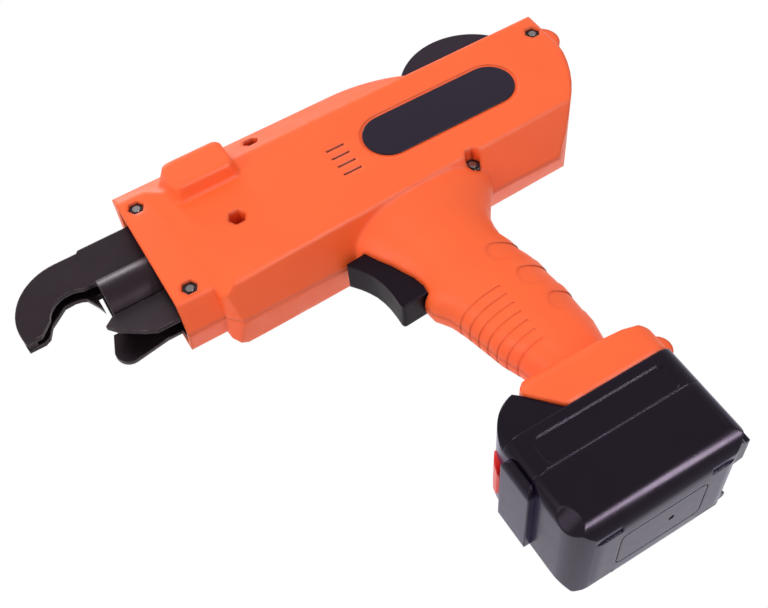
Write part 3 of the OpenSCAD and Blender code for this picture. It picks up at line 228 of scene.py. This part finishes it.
def rubbed(tree, coord, colour, wear, wear_srgb):
    """Bare metal in spots along the edges."""
    geometry = tree.nodes.new("ShaderNodeNewGeometry")
    rounded = add(tree, "ShaderNodeBevel", samples=EDGE_SAMPLES, Radius=RUB_RADIUS)
    turn = add(tree, "ShaderNodeVectorMath", operation="DOT_PRODUCT")
    join(tree, rounded, "Normal", turn, 0)
    join(tree, geometry, "Normal", turn, 1)
    rub = ramp(tree, turn, "Value", *TURN_RANGE, 0.0, wear)
    patch = noise(tree, coord, RUB_SIZE, detail=5.0, rough=0.7)
    spots = ramp(tree, patch, "Fac", *RUB_RANGE, 0.0, 1.0)
    amount = add(tree, "ShaderNodeMath", operation="MULTIPLY", use_clamp=True)
    join(tree, rub, "Result", amount, 0)
    join(tree, spots, "Result", amount, 1)
    mix = add(tree, "ShaderNodeMix", data_type="RGBA")
    join(tree, amount, "Value", mix, "Factor")
    sockets = {socket.name: socket for socket in mix.inputs if socket.type == "RGBA"}
    tree.links.new(colour, sockets["A"])
    sockets["B"].default_value = linear(wear_srgb)
    return next(socket for socket in mix.outputs if socket.type == "RGBA")


def surface(name, srgb, rough, metallic=0.0, grain=0.0005, grain_bump=0.06, mottle=0.05, wear=0.0,
            wear_srgb=PLAIN_TINT, edge=None, specular=0.5, tint_srgb=PLAIN_TINT, streak=0.0, recess_shade=0.0,
            sheen=0.0, sheen_srgb=PLAIN_TINT):
    """Moulded or metal surface: mottled colour, uneven gloss, grain, soft edges, wear and painted shade in
    recesses.
    """
    settings = bpy.context.scene.tying_tool
    mat = bpy.data.materials.new(name)
    mat.use_nodes = True
    tree = mat.node_tree
    tree.nodes.clear()
    out = tree.nodes.new("ShaderNodeOutputMaterial")
    shader = add(tree, "ShaderNodeBsdfPrincipled", Roughness=rough, Metallic=metallic,
                 Specular_IOR_Level=specular, Specular_Tint=linear(tint_srgb), Sheen_Weight=sheen,
                 Sheen_Roughness=SHEEN_ROUGHNESS, Sheen_Tint=linear(sheen_srgb))
    join(tree, shader, "BSDF", out, "Surface")
    coord = tree.nodes.new("ShaderNodeTexCoord")

    smudge = noise(tree, coord, SMUDGE_SIZE, detail=5.0, rough=0.6)
    gloss = ramp(tree, smudge, "Fac", *SMUDGE_RANGE, rough * GLOSSY_SHARE, min(1.0, rough * DULL_SHARE))
    join(tree, gloss, "Result", shader, "Roughness")

    soft = add(tree, "ShaderNodeBevel", samples=EDGE_SAMPLES, Radius=edge or settings.edge_radius)
    bump = add(tree, "ShaderNodeBump", Strength=grain_bump, Distance=GRAIN_DEPTH)
    join(tree, noise(tree, coord, grain, detail=2.0), "Fac", bump, "Height")
    join(tree, soft, "Normal", bump, "Normal")
    join(tree, bump, "Normal", shader, "Normal")

    colour = mottled(tree, coord, srgb, mottle)
    if streak:
        colour = brushed(tree, coord, colour, streak)
    # Painted shade: slots and pockets get a darker colour where they see little of the outside
    if recess_shade:
        colour = painted_recess_shade(tree, colour, recess_shade, settings.recess_shade_reach)
    if wear:
        colour = rubbed(tree, coord, colour, wear, wear_srgb)
    tree.links.new(colour, shader.inputs["Base Color"])
    return mat


def pale_floor():
    """Pale matt floor that is seen from above, and lets a camera below the battery look through it."""
    mat = bpy.data.materials.new("pale_floor")
    mat.use_nodes = True
    tree = mat.node_tree
    tree.nodes.clear()
    out = tree.nodes.new("ShaderNodeOutputMaterial")
    paint = add(tree, "ShaderNodeBsdfPrincipled", Base_Color=FLOOR_GREY, Roughness=FLOOR_ROUGHNESS,
                Emission_Color=WHITE, Emission_Strength=bpy.context.scene.tying_tool.floor_glow)
    clear = tree.nodes.new("ShaderNodeBsdfTransparent")
    under = tree.nodes.new("ShaderNodeNewGeometry")
    either = tree.nodes.new("ShaderNodeMixShader")
    join(tree, under, "Backfacing", either, 0)
    join(tree, paint, "BSDF", either, 1)
    join(tree, clear, "BSDF", either, 2)
    join(tree, either, "Shader", out, "Surface")
    return mat


def white_room(light):
    """World that is white to look at and in reflections, and lights the tool with the given strength."""
    world = bpy.data.worlds.new("White")
    world.use_nodes = True
    tree = world.node_tree
    tree.nodes.clear()
    out = tree.nodes.new("ShaderNodeOutputWorld")
    lit = add(tree, "ShaderNodeBackground", Color=WHITE, Strength=light)
    seen = add(tree, "ShaderNodeBackground", Color=WHITE, Strength=1.0)
    path = tree.nodes.new("ShaderNodeLightPath")
    looked = add(tree, "ShaderNodeMath", operation="MAXIMUM")
    join(tree, path, "Is Camera Ray", looked, 0)
    join(tree, path, "Is Glossy Ray", looked, 1)
    shown = add(tree, "ShaderNodeMath", operation="MAXIMUM")
    join(tree, looked, "Value", shown, 0)
    join(tree, path, "Is Transmission Ray", shown, 1)
    mix = tree.nodes.new("ShaderNodeMixShader")
    join(tree, shown, "Value", mix, 0)
    join(tree, lit, "Background", mix, 1)
    join(tree, seen, "Background", mix, 2)
    join(tree, mix, "Shader", out, "Surface")
    return world


def smooth_group():
    """Geometry nodes that join a CAD mesh's split corners and keep only its true edges sharp."""
    group = bpy.data.node_groups.get("SmoothTrueEdges")
    if group:
        return group
    group = bpy.data.node_groups.new("SmoothTrueEdges", "GeometryNodeTree")
    group.interface.new_socket("Geometry", in_out="INPUT", socket_type="NodeSocketGeometry")
    group.interface.new_socket("Geometry", in_out="OUTPUT", socket_type="NodeSocketGeometry")
    start = group.nodes.new("NodeGroupInput")
    end = group.nodes.new("NodeGroupOutput")
    weld = add(group, "GeometryNodeMergeByDistance", Distance=WELD_GAP)
    angle = group.nodes.new("GeometryNodeInputMeshEdgeAngle")
    sharp = add(group, "FunctionNodeCompare", operation="GREATER_THAN", data_type="FLOAT")
    sharp.inputs["B"].default_value = bpy.context.scene.tying_tool.smooth_angle
    normal = add(group, "GeometryNodeSetMeshNormal", mode="SHARPNESS", Remove_Custom=True)
    join(group, start, "Geometry", weld, "Geometry")
    join(group, angle, "Unsigned Angle", sharp, "A")
    join(group, weld, "Geometry", normal, "Mesh")
    join(group, sharp, "Result", normal, "Edge Sharpness")
    join(group, normal, "Mesh", end, "Geometry")
    return group


def dress(nodes, mat):
    """Gives CAD nodes a material and smooth shading with true edges."""
    for name in nodes:
        obj = NODES[name]
        obj.data.materials.clear()
        obj.data.materials.append(mat)
        modifier = obj.modifiers.new("SmoothTrueEdges", "NODES")
        modifier.node_group = smooth_group()
        weighted = obj.modifiers.new("WeightedNormal", "WEIGHTED_NORMAL")
        weighted.keep_sharp = True
        weighted.mode = "FACE_AREA"


def stand(obj, right, up, place):
    """Links a lamp or camera to the scene at a place, turned to look along up x right."""
    back = right.cross(up)
    bpy.context.scene.collection.objects.link(obj)
    obj.matrix_world = Matrix.Translation(place) @ Matrix((right, up, back)).transposed().to_4x4()


class TYINGTOOL_OT_housing(bpy.types.Operator):
    """Dress the moulded casings, the latch, the bare plate and the fasteners"""
    bl_idname = "tying_tool.housing"
    bl_label = "Dress Housing"

    def execute(self, context):
        settings = context.scene.tying_tool
        colours = context.scene.tying_colours
        # The casings' slots and pockets carry painted shade in their colour
        dress(HOUSING, surface("orange_shell", colours.shell, 0.46, grain=settings.grain_size,
                               grain_bump=0.1, mottle=0.03, specular=0.4, edge=settings.casing_edge,
                               recess_shade=0.8))
        dress(("name_plate",), surface("plate", colours.plate, 0.34, grain_bump=0.03, mottle=0.06,
                                       specular=0.25, tint_srgb=DARK_TINT))
        dress(BOLTS, surface("bolt_steel", colours.bolt, 0.28, metallic=1.0, grain=0.0011,
                             grain_bump=0.7, mottle=0.35, edge=0.0006))
        dress(NUTS, surface("nut_steel", colours.nut, 0.34, metallic=0.7, mottle=0.25, edge=0.0004,
                            specular=0.3, wear=0.7, wear_srgb=colours.nut_rub))
        return {"FINISHED"}


class TYINGTOOL_OT_jaw(bpy.types.Operator):
    """Dress the blued sheet steel of the jaw"""
    bl_idname = "tying_tool.jaw"
    bl_label = "Dress Jaw"

    def execute(self, context):
        colours = context.scene.tying_colours
        dress(JAW, surface("blued_steel", colours.jaw, 0.34, metallic=0.1, mottle=0.3, grain_bump=0.07,
                           wear=0.8, wear_srgb=colours.jaw_rub, edge=0.0007, streak=0.15, specular=0.3,
                           tint_srgb=OIL_TINT))
        return {"FINISHED"}


class TYINGTOOL_OT_reel(bpy.types.Operator):
    """Dress the reel and its wire"""
    bl_idname = "tying_tool.reel"
    bl_label = "Dress Reel"

    def execute(self, context):
        colours = context.scene.tying_colours
        dress(("reel",), surface("reel_plastic", colours.reel, 0.42, mottle=0.08, edge=0.0006,
                                 specular=0.25, tint_srgb=DARK_TINT))
        dress(WIRE, surface("tie_wire", colours.wire, 0.42, metallic=0.9, mottle=0.15, edge=0.0002))
        return {"FINISHED"}


class TYINGTOOL_OT_drive(bpy.types.Operator):
    """Dress trigger, motors, shafts and boards"""
    bl_idname = "tying_tool.drive"
    bl_label = "Dress Drive"

    def execute(self, context):
        colours = context.scene.tying_colours
        dress(BLACK, surface("black_plastic", colours.black, 0.42, grain_bump=0.05, mottle=0.1,
                             edge=0.0018, specular=0.12, tint_srgb=DARK_TINT))
        dress(BRIGHT, surface("bright_steel", colours.bright, 0.28, metallic=1.0, mottle=0.08, edge=0.0003))
        dress(CANS, surface("motor_can", colours.can, 0.32, metallic=0.9, mottle=0.08, edge=0.0005))
        dress(("inner_frame",), surface("frame_alloy", colours.alloy, 0.45, metallic=0.9, edge=0.0004))
        dress(BOARDS, surface("board", colours.board, 0.35, mottle=0.15, edge=0.0002))
        return {"FINISHED"}


class TYINGTOOL_OT_battery(bpy.types.Operator):
    """Dress the battery, its release button and its cells"""
    bl_idname = "tying_tool.battery"
    bl_label = "Dress Battery"

    def execute(self, context):
        colours = context.scene.tying_colours
        dress(BATTERY, surface("battery_black", colours.battery, 0.22, mottle=0.1, grain_bump=0.015,
                               specular=0.16, edge=0.0013, tint_srgb=DARK_TINT, sheen=0.22,
                               sheen_srgb=VIOLET))
        dress(("release_button",), surface("release_red", colours.button, 0.34, mottle=0.05))
        dress(("battery_cells",), surface("cell_wrap", colours.cell, 0.25, mottle=0.05))
        return {"FINISHED"}


class TYINGTOOL_OT_stage(bpy.types.Operator):
    """Set the white room, the pale floor, the soft lamps and the camera of the photograph"""
    bl_idname = "tying_tool.stage"
    bl_label = "Set Stage"

    def execute(self, context):
        scene = context.scene
        settings = scene.tying_tool
        scene.view_settings.view_transform = "Standard"
        scene.world = white_room(settings.room_light)

        bpy.ops.mesh.primitive_circle_add(vertices=FLOOR_CORNERS, radius=settings.floor_radius,
                                          fill_type="NGON", location=(0.0, 0.0, -settings.floor_drop))
        floor = context.active_object
        floor.name = "Floor"
        floor.data.materials.append(pale_floor())
        for ray in ("diffuse", "glossy", "transmission", "shadow"):
            setattr(floor, "visible_" + ray, False)

        for name, place, size, power, lights, shines in LAMPS:
            data = bpy.data.lights.new(name, "AREA")
            data.shape = "RECTANGLE"
            data.size, data.size_y = size
            data.energy = getattr(settings, power)
            lamp = bpy.data.objects.new(name, data)
            lamp.visible_diffuse = lights
            lamp.visible_glossy = shines
            back = (Vector(place) - AIM).normalized()
            along = (LAMP_WAY - back * LAMP_WAY.dot(back)).normalized()
            stand(lamp, along, back.cross(along), place)

        data = bpy.data.cameras.new("Photo")
        data.sensor_fit = "HORIZONTAL"
        data.sensor_width = SENSOR_MM
        data.lens = LENS_MM
        data.clip_start = CAMERA_NEAR
        camera = bpy.data.objects.new("Photo", data)
        stand(camera, CAMERA_RIGHT, CAMERA_UP, CAMERA_PLACE)
        scene.camera = camera
        return {"FINISHED"}


class TYINGTOOL_PT_panel(bpy.types.Panel):
    """Buttons and settings of the tying tool's looks"""
    bl_idname = "TYINGTOOL_PT_panel"
    bl_label = "Tying Tool"
    bl_space_type = "VIEW_3D"
    bl_region_type = "UI"
    bl_category = "Tying Tool"

    def draw(self, context):
        for group in (context.scene.tying_tool, context.scene.tying_colours):
            for name in group.bl_rna.properties.keys():
                if name not in ("rna_type", "name"):
                    self.layout.prop(group, name)
        for step in STEPS:
            self.layout.operator(step.bl_idname)


STEPS = (TYINGTOOL_OT_housing, TYINGTOOL_OT_jaw, TYINGTOOL_OT_reel, TYINGTOOL_OT_drive, TYINGTOOL_OT_battery,
         TYINGTOOL_OT_stage)
CLASSES = (TyingToolSettings, TyingToolColours) + STEPS + (TYINGTOOL_PT_panel,)


def register():
    for cls in CLASSES:
        bpy.utils.register_class(cls)
    bpy.types.Scene.tying_tool = bpy.props.PointerProperty(type=TyingToolSettings)
    bpy.types.Scene.tying_colours = bpy.props.PointerProperty(type=TyingToolColours)


def unregister():
    del bpy.types.Scene.tying_colours
    del bpy.types.Scene.tying_tool
    for cls in reversed(CLASSES):
        bpy.utils.unregister_class(cls)


def main():
    register()
    bpy.ops.tying_tool.housing()
    bpy.ops.tying_tool.jaw()
    bpy.ops.tying_tool.reel()
    bpy.ops.tying_tool.drive()
    bpy.ops.tying_tool.battery()
    bpy.ops.tying_tool.stage()


if __name__ == "__main__":
    main()
